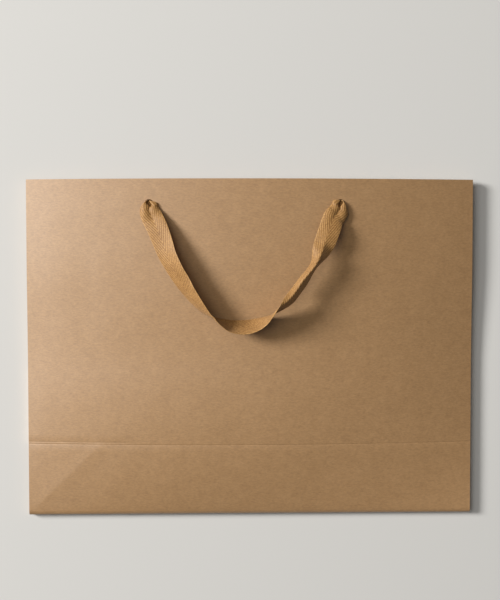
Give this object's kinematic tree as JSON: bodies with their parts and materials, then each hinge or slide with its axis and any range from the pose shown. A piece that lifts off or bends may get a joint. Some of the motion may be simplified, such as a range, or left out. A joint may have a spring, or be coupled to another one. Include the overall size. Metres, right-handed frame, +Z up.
{
  "type": "paper carrier bag",
  "caption": "Flat-folded kraft paper carrier bag with side gussets, a folded block bottom and woven tape loop handles.",
  "frame": {"origin": "on the floor, under the middle of the flat-folded bag", "axes": "+X to the right across the front panel, +Y from the bottom fold towards the mouth, +Z up out of the front panel"},
  "size_m": [0.4, 0.302, 0.0548],
  "materials": {
    "kraft_paper": "uncoated brown kraft paper, matt with fine fibres",
    "twill_tape": "herringbone woven cotton tape, tan",
    "grey_card": "plain unbleached card"
  },
  "bodies": {
    "root": {"bag_body": "kraft_paper", "front_handle": "twill_tape", "rear_handle": "twill_tape", "front_top_board": "grey_card", "rear_top_board": "grey_card", "base_board": "grey_card"}
  },
  "joints": []
}
